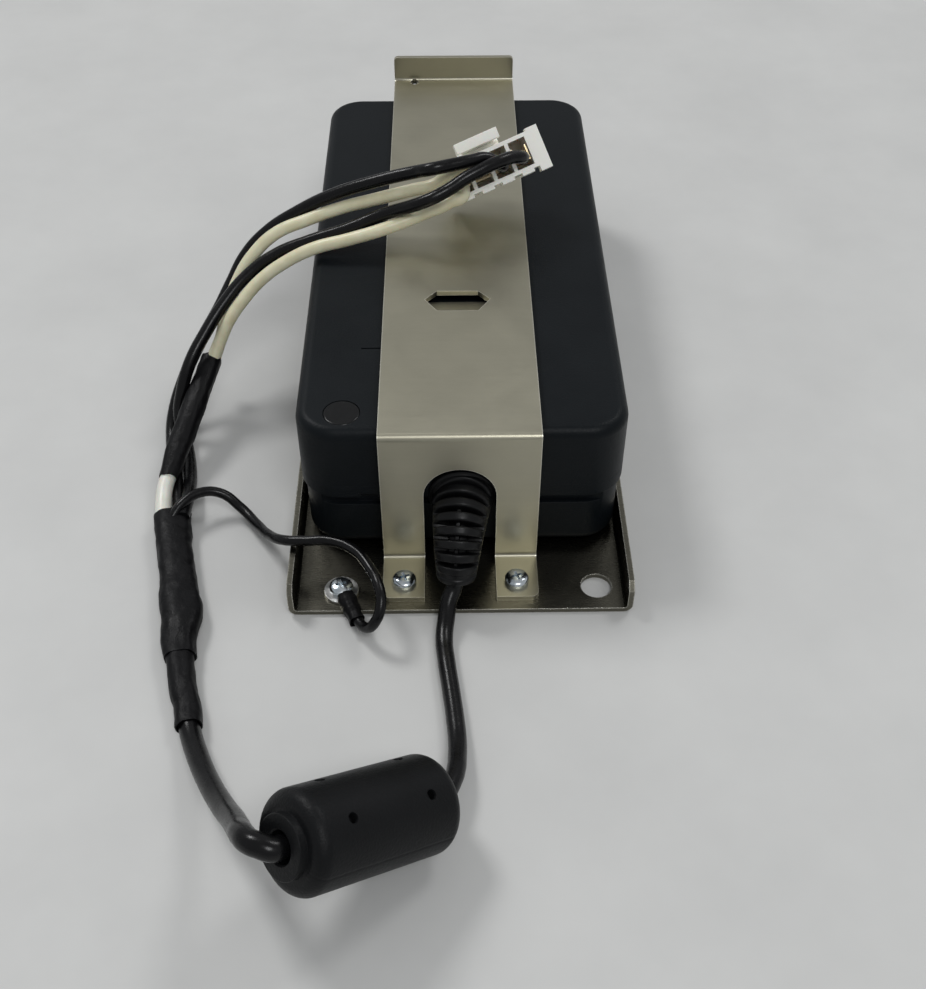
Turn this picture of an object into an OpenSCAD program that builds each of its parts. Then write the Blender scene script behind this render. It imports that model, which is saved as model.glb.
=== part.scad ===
// Power supply held in a sheet-metal bracket, with its output lead, ferrite,
// spliced wires and four-way plug. Millimetres, +Z up, front towards -Y.
// The origin is on the resting plane, below the middle of the bracket.

/* [Bracket] */
// Thickness of the sheet metal
sheet_t = 1.2; // [1:0.1:1.4]
// Outer width of the base tray
tray_w = 71.4; // [70.8:0.1:76]
// Height of the tray's side flanges
flange_h = 7.8; // [5:0.2:12]
// Diameter of the tray's spare mounting hole
mount_hole_d = 6.5; // [4:0.5:8]
// Width of the clamp strap
strap_w = 32.6; // [30:0.2:38]
// Height of the strap's turned-up rear lip above the strap
lip_h = 6.5; // [4:0.5:12]
// Width of the cable slot in the strap's front
slot_w = 15; // [14.6:0.2:16]

/* [Power supply] */
// Length of the case
case_l = 137.1; // [136:0.1:137.5]
// Width of the case
case_w = 68; // [67:0.1:68.2]
// Radius of the case's upright corners
case_r = 8.5; // [7:0.5:10]
// Wall thickness of the case
wall = 2.2; // [1.8:0.1:2.4]

/* [Lead] */
// Diameter of the output cable in front of the ferrite
cable_d = 3.6; // [3:0.1:4]
// Diameter of the output cable behind the ferrite
rear_cable_d = 4.2; // [3.6:0.1:4.2]
// Diameter of each plug wire
wire_d = 3; // [2.4:0.1:3]
// Diameter of the ground wire
ground_d = 2.2; // [1.8:0.1:2.4]
// Diameter of the ferrite's cover
ferrite_d = 17.8; // [17.6:0.1:18]
// Length of the ferrite's cover without its end discs
ferrite_l = 31.8; // [31.4:0.1:32]

/* [Plug] */
// Distance between neighbouring contacts
pitch = 5.08; // [5.08:0.01:5.1]
// Height of the housing
plug_h = 8.4; // [8:0.1:9]

/* [Hidden] */
$fn = 48;
eps = 0.01;

// Bracket
bend_in = 0.8;
bend_out = bend_in + sheet_t;
tray_l = 156.6;
strap_top = 36.8;
face_y = 14;
lip_y = 162.4;
fold_out = 1.4;
foot_y = 2.4;
slot_top_z = 20.4;
front_y = -lip_y / 2;
screw_y = 6.7;
screw_x = 11.8;
ground_at = [-25, 5.2];
mount_hole_at = [28.6, 6.2];
rear_hole_at = [-10.8, 159.9];
rear_hole_d = 2.4;
screw_hole_d = 3;
tab_hinge_y = 54.4;
tab_angle = 17.5;

// Case, measured from the front edge of the tray and the middle of the case
case_x = 0.6;
case_y = 17.4;
case_top = 35;
case_bottom = 1.8;
parting_z = 20.1;
rim_z = 17;
inset = 0.8;
top_edge = 2.4;
bottom_edge = 3;
mid_y = case_y + case_l / 2;
inner_top = case_top - wall;
floor_z = case_bottom + wall;
relief_z = 18;
lens_at = [-24.4, 23.6];
lens_d = 7.6;
tab_pocket = [30, 20, 1.5];
feet_at = [[-24, 32], [24, 32], [-24, 140], [24, 140]];
foot_d = 10;
foot_recess = 0.8;
posts_at = [[-25, 34], [25, 34], [-25, 122], [25, 122]];

// Board and what stands on it
board = [60, 107, 1.6];
board_y = 22.5;
board_z = 8;
board_top = board_z + board[2];
part_top = 31.9;

// Mains inlet
inlet = [27.2, 24, 19.6];
inlet_z = 18.4;
well = [24.6, 17, 16.4];
well_chamfer = 4.6;
blade = [2, 4];
blade_gap = 7;

// Strain relief
relief_r = 13.9;
relief_bend = 72;
relief_ribs = 8;
relief_yaw = -6;

// Ground terminal
terminal_yaw = -68.6;
terminal_z = 3.3;

// Ferrite
ferrite_yaw = 36.7;
ferrite_tilt = 28;
ferrite_round = 2.5;
ferrite_z = (ferrite_l / 2 - ferrite_round) * sin(ferrite_tilt)
    + (ferrite_d / 2 - ferrite_round) * cos(ferrite_tilt) + ferrite_round;
ferrite_at = [-17.3, -138.5, ferrite_z];
core = [14, 25];
end_disc = [11, 1.5];

// Plug: X along the row, Y towards the mating side, Z up
plug_at = [0.1, 5.7, 44];
plug_tilt = [-38.1, -16.5, 17];
plug_wall = 0.9;
plug_depth = 10.5;
first_way = 2.99;
plug_w = 21.2;
pivot = [5, plug_h + 0.9];
pivot_r = 0.6;

// Routes of the cords, from one end to the other
cable_front_route = [
    [-0.8, -77.5, 10.5], [-1, -78.5, 8], [-1.5, -79.5, 6], [-2.5, -81.5, 4.5],
    [-3, -84.5, 3], [-3.5, -89, 1.8], [-3, -95.5, 1.8], [-2.2, -102, 1.8],
    [-1.41, -109.27, 2], [-1.08, -114.02, 2.3], [-1.12, -118.02, 3], [-1.33, -121.13, 3.8],
    [-1.9, -123.84, 4.4], [-4.13, -128.69, 5.71], [-5.12, -129.42, 6.37],
    [-6.33, -130.32, 7.16], [-11.64, -134.28, 10.69], [-16.88, -138.18, 14.16]
];
cable_rear_route = [
    [-17.72, -138.82, 14.72], [-22.96, -142.72, 18.2], [-28.27, -146.68, 21.72],
    [-29.48, -147.58, 22.52], [-30.33, -148.21, 23.08], [-32.64, -147.74, 23.6],
    [-34.25, -146.9, 23.3], [-35.75, -144.9, 21.9], [-37, -142.2, 19.2],
    [-38.83, -138.28, 15.6], [-41.04, -134.34, 12.2], [-45.35, -126.29, 7.3],
    [-49.05, -118.27, 4], [-51.5, -112, 2.4], [-53, -107, 2.4]
];
ground_route = [
    [-63, -57.5, 4.5], [-61, -54.5, 6], [-57.5, -51.5, 6.5], [-53, -50.5, 5.5],
    [-48.5, -53, 3.5], [-44.5, -58, 3.5], [-41, -63.6, 5.8], [-37, -68.2, 8.9],
    [-32.5, -69.5, 10], [-27, -70.5, 11], [-22, -73.5, 11.5], [-18.5, -78.5, 11.5],
    [-16.5, -83.5, 11.5], [-16, -87, 10], [-17, -89, 7.5], [-19, -88.5, 4.5],
    [-21.5, -85, 3.3]
];
white_front_route = [
    [-58.5, -15, 13.5], [-56, -12, 18], [-53.5, -10, 22.5], [-50, -7.5, 26.5],
    [-45.5, -5, 30.5], [-40, -3.5, 34], [-33, -3, 37.5], [-25, -2.5, 39.5],
    [-17, -1.5, 41.5], [-9, 1.2, 43.2], [-5.7, 2.1, 44.2], [-3.4, 2.5, 44.9],
    [-1.4, 3, 45.8], [1.5, 4.6, 46.3], [1.7, 5.9, 47.3], [1.6, 7.8, 47.3], [1.5, 9.1, 46.6]
];
white_rear_route = [
    [-58.5, -9.5, 11], [-56.5, -7.5, 16], [-54.5, -4.5, 22], [-51.5, -0.5, 28],
    [-48, 2, 32.5], [-42.5, 4, 37], [-35, 5, 40], [-27, 6, 42.5], [-18, 6, 45],
    [-10, 6, 47.2], [-4.5, 6.3, 48.6], [-2, 6.7, 50.6], [0.6, 7.8, 51.8], [3, 8.6, 52.1],
    [4.7, 9.3, 51.4], [5.4, 10.3, 50.4], [5.4, 11.5, 49.5]
];
black_rear_route = [
    [-61.5, -57, 1.8], [-63, -49, 1.6], [-65, -40, 1.6], [-67, -31, 2],
    [-67.5, -23.5, 4.5], [-65, -16.5, 10.5], [-61, -10, 16.5], [-57, -3.5, 21],
    [-54, 1.5, 25], [-50.5, 5.5, 30], [-45, 7, 35.5], [-37.5, 7.5, 40.5], [-28.5, 7, 45.5],
    [-18.5, 6, 49.5], [-9, 5, 52.5], [-5.8, 3.3, 54.1], [-1, 4.6, 54.4], [3.9, 6.5, 54.4],
    [6.5, 7.9, 54.1], [9.1, 8.4, 52.9], [10.5, 9.6, 51.4], [10.9, 10.8, 50.3],
    [10.8, 11.9, 49.5]
];
black_front_route = [
    [-60.5, -57, 4.5], [-60.5, -49, 3.6], [-61.5, -40.5, 1.8], [-63.5, -31.5, 2],
    [-65.5, -25.5, 6], [-64.5, -22, 11.5], [-62.5, -18.5, 16.5], [-59, -13, 21],
    [-54.5, -7, 25.5], [-49.5, -2.5, 29.5], [-42.5, 0.5, 33.5], [-34, 1, 37],
    [-25.5, 1, 40], [-17, 1.5, 43.5], [-6.5, -1.4, 49], [-1.7, 0.3, 50.7], [2.2, 2, 52.6],
    [5.4, 3.5, 53.6], [8, 4.9, 54.2], [10.5, 6.4, 54.4], [12.7, 8.2, 54.1],
    [14.5, 9.6, 53.4], [15.4, 10.9, 52.6], [15.6, 12.2, 51.7], [15.5, 13.3, 50.9]
];
white_lead_route = [[-65, -57, 2.6], [-66, -50.5, 2.9], [-66, -46, 3.8], [-65, -42.5, 5]];

// Sleeves: each point is followed by the sleeve's width and height there
sleeve_long = [
    [[-56, -94, 2.6], 6.4, 5], [[-57, -88.5, 2.7], 7.4, 5.2], [[-57.5, -82, 2.8], 8.6, 5.4],
    [[-59.5, -73, 2.8], 7.7, 5.2], [[-61.5, -64.5, 2.8], 7.7, 5.2], [[-63.2, -55, 2.9], 7.9, 5.6]
];
sleeve_end = [
    [[-52, -110.5, 2.4], 5.2, 4.6], [[-53, -106, 2.4], 5.2, 4.7],
    [[-54.5, -101.5, 2.5], 5.4, 4.8], [[-56, -94, 2.6], 5.6, 4.6]
];
sleeve_small = [
    [[-65.5, -44.5, 4.4], 4.2, 4], [[-64, -37.5, 6.8], 5.2, 4.2], [[-62.5, -31.5, 8.8], 5.6, 4.4],
    [[-61, -25, 10.8], 5.4, 4.4], [[-59.5, -19, 12.4], 5, 4.6], [[-58.5, -13.5, 13.6], 4.8, 5.2]
];

metal = [0.62, 0.6, 0.55];
bright = [0.8, 0.82, 0.86];
plastic = [0.15, 0.16, 0.18];
black = [0.07, 0.07, 0.08];
ivory = [0.9, 0.88, 0.76];
white = [0.95, 0.95, 0.93];

// ---- Shared shapes ----

function unit(v) = v / norm(v);
function heading(p, i) = unit(p[min(i + 1, len(p) - 1)] - p[max(i - 1, 0)]);
function ring(centre, along, ref, w, h, sides) =
    let (side = unit(cross(along, ref)), up = cross(side, along))
    [for (k = [0 : sides - 1])
        let (a = 360 * (k + 0.5) / sides) centre + side * w / 2 * cos(a) + up * h / 2 * sin(a)];

// A tube through the points, each ring as wide and high as its own entry says
module sweep(points, widths, heights, ref = [0, 0, 1], sides = 8) {
    last = len(points) - 1;
    rings = [for (i = [0 : last])
        ring(points[i], heading(points, i), ref, widths[i], heights[i], sides)];
    skin = [for (i = [0 : last - 1], k = [0 : sides - 1])
        let (a = i * sides + k, b = i * sides + (k + 1) % sides)
        each [[a, b, b + sides], [a, b + sides, a + sides]]];
    ends = [[for (k = [sides - 1 : -1 : 0]) k], [for (k = [0 : sides - 1]) last * sides + k]];
    polyhedron([for (r = rings, p = r) p], concat(skin, ends), convexity = 6);
}

module cord(points, d, ref = [0, 0, 1]) {
    size = [for (p = points) d];
    sweep(points, size, size, ref);
}

module sleeve(stations) {
    sweep([for (s = stations) s[0]], [for (s = stations) s[1]], [for (s = stations) s[2]],
        sides = 12);
}

// Quarter of a bent sheet around the origin, from angle a to a + 90
module bend(a, outer = bend_out, inner = bend_in) {
    rotate(a) difference() {
        intersection() {
            circle(outer);
            square(outer);
        }
        circle(inner);
    }
}

module cut_corner(r, depth) {
    translate([0, 0, -eps]) linear_extrude(depth + 2 * eps) difference() {
        translate([-eps, -eps]) square(r + eps);
        translate([r, r]) circle(r);
    }
}

// Everything in the power supply is placed from the case's own middle line
module supply() {
    translate([case_x, front_y, 0]) children();
}

module upright_block(w, l, h, r) {
    linear_extrude(h) {
        square([w - 2 * r, l], center = true);
        square([w, l - 2 * r], center = true);
        for (x = [-1, 1], y = [-1, 1])
            translate([x * (w / 2 - r), y * (l / 2 - r)]) circle(r);
    }
}

module edge_profile(half, h, e) {
    square([half, h - e]);
    square([half - e, h]);
    translate([half - e, h - e]) circle(e);
}

// Block with upright corners of radius r and a top edge rounded to radius e
module soft_block(w, l, h, r, e) {
    for (side = [0, 1]) {
        mirror([side, 0, 0]) rotate([90, 0, 0])
            linear_extrude(l - 2 * r, center = true) edge_profile(w / 2, h, e);
        mirror([0, side, 0]) rotate([90, 0, 90])
            linear_extrude(w - 2 * r, center = true) edge_profile(l / 2, h, e);
    }
    for (x = [-1, 1], y = [-1, 1])
        translate([x * (w / 2 - r), y * (l / 2 - r), 0]) rotate_extrude() edge_profile(r, h, e);
}

module pan_screw(head_d, head_h, shank_d, shank_l) {
    difference() {
        union() {
            cylinder(d = head_d, h = head_h * 0.45);
            translate([0, 0, head_h * 0.45 - eps])
                cylinder(d1 = head_d, d2 = head_d * 0.62, h = head_h * 0.55);
        }
        for (a = [0, 90]) rotate(a) translate([-head_d * 0.26, -0.4, head_h * 0.4])
            cube([head_d * 0.52, 0.8, head_h]);
    }
    translate([0, 0, -shank_l]) cylinder(d = shank_d, h = shank_l + eps);
}

// ---- Bracket ----

module tray_section() {
    half = tray_w / 2;
    translate([-half + bend_out, 0]) square([tray_w - 2 * bend_out, sheet_t]);
    for (side = [0, 1]) mirror([side, 0]) {
        translate([half - sheet_t, bend_out]) square([sheet_t, flange_h - bend_out]);
        translate([half - bend_out, bend_out]) bend(270);
    }
}

module rear_stop(x0, x1) {
    translate([x0, tray_l - bend_out, bend_out]) rotate([90, 0, 90]) linear_extrude(x1 - x0) {
        bend(270);
        translate([bend_in, 0]) square([sheet_t, flange_h - bend_out]);
    }
}

module base_tray() {
    clip = 1.2;
    stop_in = 18;
    color(metal) translate([0, front_y, 0]) difference() {
        union() {
            translate([0, tray_l - bend_out, 0]) rotate([90, 0, 0])
                linear_extrude(tray_l - bend_out) tray_section();
            for (side = [0, 1]) mirror([side, 0, 0])
                rear_stop(stop_in, tray_w / 2 - bend_out);
        }
        for (x = [-1, 1]) {
            translate([x * tray_w / 2, 0, flange_h]) rotate([45, 0, 0]) cube(2 * clip, center = true);
            translate([x * screw_x, screw_y, -1]) cylinder(d = screw_hole_d, h = 4);
        }
        translate([ground_at[0], ground_at[1], -1]) cylinder(d = screw_hole_d, h = 4);
        translate([mount_hole_at[0], mount_hole_at[1], -1]) cylinder(d = mount_hole_d, h = 4);
    }
}

module strap_section() {
    rear_c = [lip_y - bend_out, strap_top + bend_in];
    foot_c = [face_y - bend_in, 2 * sheet_t + bend_in];
    fold_c = [face_y + fold_out, strap_top - fold_out];
    translate([foot_y, sheet_t]) square([foot_c[0] - foot_y, sheet_t]);
    translate(foot_c) bend(270);
    translate([face_y, foot_c[1]]) square([sheet_t, fold_c[1] - foot_c[1]]);
    translate(fold_c) bend(90, fold_out, fold_out - sheet_t);
    translate([fold_c[0], strap_top - sheet_t]) square([rear_c[0] - fold_c[0], sheet_t]);
    translate(rear_c) bend(270);
    translate([lip_y - sheet_t, rear_c[1]]) square([sheet_t, strap_top + lip_h - rear_c[1]]);
}

module tab_opening() {
    polygon([[-4.5, 55], [4.5, 55], [7.2, 59.2], [4.55, 62.2], [-4.55, 62.2], [-7.2, 59.2]]);
}

module clamp_strap() {
    lip_r = 1;
    foot_r = 1.5;
    color(metal) translate([0, front_y, 0]) {
        difference() {
            rotate([90, 0, 90]) linear_extrude(strap_w, center = true) strap_section();
            translate([-slot_w / 2, -1, 0]) cube([slot_w, face_y + 3, slot_top_z]);
            translate([0, face_y + 3, slot_top_z]) rotate([90, 0, 0]) cylinder(d = slot_w, h = 8);
            translate([0, 0, strap_top - 3]) linear_extrude(6) tab_opening();
            for (x = [-1, 1]) translate([x * screw_x, screw_y, 0]) cylinder(d = 3.4, h = 4);
            translate([rear_hole_at[0], rear_hole_at[1], strap_top - 4]) cylinder(d = rear_hole_d, h = 6);
            for (side = [0, 1]) mirror([side, 0, 0]) {
                translate([-strap_w / 2, lip_y, strap_top + lip_h]) rotate([90, 90, 0])
                    cut_corner(lip_r, 2 * sheet_t);
                translate([-strap_w / 2, foot_y, sheet_t]) cut_corner(foot_r, sheet_t);
            }
        }
        intersection() {
            translate([0, 0, 30]) linear_extrude(8) polygon([
                [-4.4, tab_hinge_y], [4.4, tab_hinge_y], [7.1, 59.2], [6.2, 60.9],
                [-6.2, 60.9], [-7.1, 59.2]
            ]);
            translate([-10, tab_hinge_y, strap_top - 0.02]) rotate([-tab_angle, 0, 0])
                translate([0, -2, -sheet_t]) cube([20, 12, sheet_t]);
        }
    }
}

module strap_screws() {
    color(bright) for (x = [-1, 1])
        translate([x * screw_x, front_y + screw_y, 2 * sheet_t]) pan_screw(5, 2, 3, 2 * sheet_t - 0.1);
}

module ground_screw() {
    color(bright) translate([ground_at[0], front_y + ground_at[1], sheet_t + 0.8])
        pan_screw(5.5, 2.2, 3, sheet_t + 0.7);
}

module at_terminal() {
    translate([ground_at[0], front_y + ground_at[1], 0]) rotate(terminal_yaw) children();
}

module ring_terminal() {
    color(bright) at_terminal() difference() {
        union() {
            translate([0, 0, sheet_t]) cylinder(d = 7.2, h = 0.8);
            translate([2, -1.4, sheet_t]) cube([3, 2.8, 0.8]);
            translate([3.4, 0, terminal_z]) rotate([0, 90, 0]) cylinder(r = 1.5, h = 4.6);
        }
        cylinder(d = 3.2, h = 4);
    }
}

module terminal_sleeve() {
    color(black) at_terminal() translate([3, 0, terminal_z]) rotate([0, 90, 0]) difference() {
        cylinder(r = 2.1, h = 7.4);
        translate([0, 0, -1]) cylinder(r = 1.5, h = 9.4);
        translate([0, -1.5, -1]) cube([2.4, 3, 3.4]);
    }
}

module ground_wire() {
    color(black) cord(ground_route, ground_d, [1, 0.4, 0]);
}

// ---- Power supply ----

module cable_hole() {
    translate([0, case_y + 6, relief_z]) rotate([90, 0, 0]) cylinder(d = 12, h = 12);
}

module inlet_hole() {
    translate([-inlet[0] / 2, case_y + case_l - 6, inlet_z - inlet[2] / 2])
        cube([inlet[0], 12, inlet[2]]);
}

module upper_case() {
    h = case_top - parting_z;
    pocket_y = 50;
    color(plastic) supply() difference() {
        translate([0, mid_y, parting_z]) soft_block(case_w, case_l, h, case_r, top_edge);
        translate([0, mid_y, parting_z - 1]) upright_block(
            case_w - 2 * wall, case_l - 2 * wall, inner_top - parting_z + 1, case_r - wall);
        translate([-case_x - tab_pocket[0] / 2, pocket_y, case_top - tab_pocket[2]])
            cube([tab_pocket[0], tab_pocket[1], 4]);
        translate([lens_at[0], lens_at[1], case_top - 4]) cylinder(d = lens_d, h = 8);
        translate([-21.3, 44.1, case_top - 0.3]) cube([9, 0.4, 1]);
        cable_hole();
        inlet_hole();
    }
}

module lower_case() {
    w = case_w - 2 * inset;
    l = case_l - 2 * inset;
    color(plastic) supply() difference() {
        union() {
            translate([0, mid_y, rim_z]) mirror([0, 0, 1])
                soft_block(w, l, rim_z - case_bottom, case_r - inset, bottom_edge);
            translate([0, mid_y, rim_z]) upright_block(case_w, case_l, parting_z - rim_z, case_r);
        }
        difference() {
            translate([0, mid_y, floor_z])
                upright_block(w - 2 * wall, l - 2 * wall, parting_z, case_r - inset - wall);
            for (p = posts_at) translate([p[0], p[1], floor_z - 1])
                cylinder(d = 5, h = board_z - floor_z + 1);
        }
        for (p = feet_at) translate([p[0], p[1], 0]) cylinder(d = foot_d, h = case_bottom + foot_recess);
        translate([-29.4, case_y - 1, 14.2]) cube([60, 2.8, 2.6]);
        translate([-21.4, case_y - 1, 16.5]) cube([3.9, 2, 1.5]);
        cable_hole();
        inlet_hole();
    }
}

module indicator_lens() {
    color([0.2, 0.22, 0.24]) supply() translate([lens_at[0], lens_at[1], case_top - wall])
        cylinder(d = lens_d, h = wall);
}

module indicator_led() {
    color("green") supply() translate([lens_at[0], lens_at[1] + 1, 0]) {
        translate([0, 0, 24]) cylinder(d = 3, h = 4);
        translate([0, 0, 28]) sphere(d = 3);
        for (x = [-1, 1]) translate([x * 0.9 - 0.3, -0.3, board_top]) cube([0.6, 0.6, 14.5]);
    }
}

module rubber_feet() {
    color(black) supply() for (p = feet_at)
        translate([p[0], p[1], sheet_t]) cylinder(d = foot_d, h = case_bottom + foot_recess - sheet_t);
}

module rating_label() {
    color("white") supply() translate([-20, 56, case_bottom - 0.2]) cube([40, 60, 0.2]);
}

module insulation_sheet() {
    color("ivory") supply() translate([-30.5, 58, part_top]) cube([61, 66, 0.4]);
}

module main_board() {
    color("darkgreen") supply() translate([-board[0] / 2, board_y, board_z]) cube(board);
}

module transformer_core() {
    color([0.25, 0.25, 0.26]) supply() difference() {
        translate([-13, 66, 15]) cube([32, 28, 10]);
        for (y = [69.5, 84.5]) translate([-7, y, 14]) cube([20, 6, 12]);
    }
}

module transformer_winding() {
    color([0.85, 0.75, 0.3]) supply() difference() {
        translate([-6.8, 69.7, board_top]) cube([19.6, 20.6, 20.4]);
        translate([-8, 75.5, 15]) cube([22, 9, 10]);
    }
}

module bulk_capacitor() {
    color([0.12, 0.12, 0.16]) supply() translate([-25, 107, board_top + 9]) rotate([0, 90, 0])
        cylinder(d = 18, h = 30);
}

module output_capacitors() {
    color([0.2, 0.25, 0.35]) supply() for (x = [-10, 4, 18])
        translate([x, 40, board_top]) cylinder(d = 10, h = 20);
}

module primary_heat_sink() {
    color("silver") supply() {
        translate([-29.5, 62, board_top]) cube([2, 34, part_top - board_top]);
        for (z = [14, 20, 26]) translate([-27.5, 82, z]) cube([4, 14, 1.5]);
    }
}

module secondary_heat_sink() {
    color("silver") supply() {
        translate([-22, 59, board_top]) cube([44, 2, part_top - board_top]);
        for (z = [14, 20, 26]) translate([-4, 55, z]) cube([8, 4, 1.5]);
    }
}

module power_package() {
    translate([-5, 0, 0]) cube([10, 4.4, 15]);
    for (x = [-2.54, 0, 2.54]) translate([x - 0.4, 1.8, -6.4]) cube([0.8, 0.6, 6.4]);
}

module power_semiconductors() {
    color([0.1, 0.1, 0.1]) supply() {
        for (x = [-13, 13]) translate([x, 54.6, board_top + 6.4]) power_package();
        translate([-23.1, 72, board_top + 6.4]) rotate(90) power_package();
    }
}

module line_choke() {
    color([0.7, 0.35, 0.15]) supply() translate([19, 107, board_top + 3.5])
        rotate_extrude() translate([6, 0]) circle(3.5);
}

module line_filter_capacitor() {
    color([0.8, 0.7, 0.2]) supply() translate([-22, 119, board_top]) cube([18, 8, 14]);
}

module fuse() {
    color("ivory") supply() translate([4, 123, board_top + 2.6]) rotate([0, 90, 0])
        cylinder(d = 5.2, h = 20);
}

module blades(y0, y1) {
    for (b = [[-blade_gap, -2], [blade_gap, -2], [0, 2.5]])
        translate([b[0] - blade[0] / 2, y0, inlet_z + b[1] - blade[1] / 2])
            cube([blade[0], y1 - y0, blade[1]]);
}

module inlet_body() {
    back_y = case_y + case_l;
    color([0.1, 0.1, 0.1]) supply() difference() {
        translate([-inlet[0] / 2, back_y - inlet[1], inlet_z - inlet[2] / 2]) cube(inlet);
        translate([0, back_y + 1, inlet_z]) rotate([90, 0, 0]) linear_extrude(well[1] + 1)
            polygon([
                [-well[0] / 2, -well[2] / 2], [well[0] / 2, -well[2] / 2],
                [well[0] / 2, well[2] / 2 - well_chamfer], [well[0] / 2 - well_chamfer, well[2] / 2],
                [-well[0] / 2 + well_chamfer, well[2] / 2], [-well[0] / 2, well[2] / 2 - well_chamfer]
            ]);
        blades(back_y - inlet[1] - 1, back_y);
    }
}

module inlet_pins() {
    color(bright) supply() blades(case_y + case_l - inlet[1] - 1.5, case_y + case_l - 2);
}

// ---- Output lead ----

module relief_rib(a, r, t) {
    rotate(a) translate([relief_r, 0, 0]) rotate([-90, 0, 0]) cylinder(r = r, h = t, center = true);
}

module strain_relief() {
    neck_y = 16.4;
    step = relief_bend / relief_ribs;
    color(black) translate([0.5, front_y + neck_y, 4.1]) {
        rotate(relief_yaw) rotate([180, -90, 0]) {
            rotate_extrude(angle = relief_bend) translate([relief_r, 0]) circle(3.1);
            for (i = [0 : relief_ribs]) relief_rib(i * step, 6.5 - 2.35 * i / relief_ribs, 1.2);
        }
        translate([0, 0, relief_r]) rotate([-90, 0, 0]) {
            cylinder(r = 7, h = 1);
            cylinder(r = 6, h = 1 + wall);
            translate([0, 0, 1 + wall + inset]) cylinder(r = 7.2, h = 1.5);
            cylinder(r = 5.4, h = 4.5 + wall + inset);
        }
    }
}

module output_cable_front() {
    color(black) cord(cable_front_route, cable_d, [0.9, 0.1, 0.3]);
}

module at_ferrite() {
    translate(ferrite_at) rotate(ferrite_yaw) rotate([0, 90 + ferrite_tilt, 0]) children();
}

module ferrite_profile() {
    half = ferrite_l / 2;
    r = ferrite_d / 2;
    e = ferrite_round;
    translate([0, -half]) square([r - e, ferrite_l]);
    translate([0, e - half]) square([r, ferrite_l - 2 * e]);
    for (side = [-1, 1]) translate([r - e, side * (half - e)]) circle(e);
    translate([0, -half - end_disc[1]]) square([end_disc[0] / 2, ferrite_l + 2 * end_disc[1]]);
}

module ferrite_core() {
    color([0.3, 0.3, 0.3]) at_ferrite() difference() {
        cylinder(d = core[0], h = core[1], center = true);
        cylinder(d = 6, h = ferrite_l, center = true);
    }
}

// Rounded cover with a raised disc on each end, where the cable goes in
module ferrite_cover() {
    color(black) at_ferrite() difference() {
        rotate_extrude() ferrite_profile();
        cylinder(d = core[0], h = core[1], center = true);
        cylinder(d = 6.6, h = 2 * ferrite_l, center = true);
    }
}

module output_cable_rear() {
    color(black) cord(cable_rear_route, rear_cable_d);
}

module splice_sleeve_end() {
    color(black) sleeve(sleeve_end);
}

module splice_sleeve_long() {
    color(black) sleeve(sleeve_long);
}

module white_lead() {
    color(white) cord(white_lead_route, 3.6);
}

module white_lead_sleeve() {
    color(black) sleeve(sleeve_small);
}

module wire_white_front() {
    color(ivory) cord(white_front_route, wire_d);
}

module wire_white_rear() {
    color(ivory) cord(white_rear_route, wire_d);
}

module wire_black_front() {
    color(black) cord(black_front_route, wire_d, [0.4, -0.3, 0.87]);
}

module wire_black_rear() {
    color(black) cord(black_rear_route, wire_d, [0.4, -0.3, 0.87]);
}

// ---- Plug ----

module at_plug() {
    translate(plug_at) rotate(plug_tilt) children();
}

module connector_housing() {
    cavity_w = pitch - plug_wall;
    end_w = 2.8;
    color(white) at_plug() {
        difference() {
            cube([plug_w, plug_depth, plug_h]);
            for (i = [0 : 3]) translate([first_way + i * pitch, 0, 0]) {
                translate([-cavity_w / 2, -1, plug_wall])
                    cube([cavity_w, plug_depth, plug_h - 2 * plug_wall]);
                translate([-1.1, 0, plug_h / 2 - 1.1]) cube([2.2, plug_depth + 1, 2.2]);
            }
        }
        for (i = [0 : 3]) translate([first_way + i * pitch - 1.5, 0, -0.7]) cube([3, 4, 0.8]);
        translate([plug_w - eps, 0, -1.3]) cube([end_w, 3, plug_h + 1.9]);
        translate([4.8, pivot[0] - 0.35, plug_h - eps]) cube([10.2, 0.7, pivot[1] - plug_h]);
        translate([4.8, pivot[0], pivot[1]]) rotate([0, 90, 0]) cylinder(r = pivot_r, h = 10.2);
    }
}

module connector_latch() {
    color(white) at_plug() difference() {
        union() {
            translate([4.5, 0, plug_h + 1.3]) cube([10.7, 2.6, 2.4]);
            translate([6, 0, plug_h + 1.3]) cube([8, plug_depth + 1.6, 1.1]);
            translate([6, plug_depth + 0.4, plug_h + 0.3]) cube([8, 1.2, 2.1]);
        }
        translate([4, pivot[0], pivot[1]]) rotate([0, 90, 0]) cylinder(r = pivot_r + 0.05, h = 12);
    }
}

module crimp_contacts() {
    barrel = [2.8, 4.4, 2.8];
    color([0.75, 0.55, 0.25]) at_plug() for (i = [0 : 3])
        translate([first_way + i * pitch, 1.2, plug_h / 2]) difference() {
            union() {
                translate([-1.9, 0, -1.9]) cube([3.8, 3.2, 0.4]);
                for (x = [-1.9, 1.5]) translate([x, 0, -1.9]) cube([0.4, 3.2, 3.6]);
                translate([-barrel[0] / 2, 3.2 - eps, -barrel[2] / 2 - 0.5]) cube(barrel);
            }
            translate([0, 3, 0]) rotate([-90, 0, 0]) cylinder(d = 1.2, h = 6);
        }
}

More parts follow.
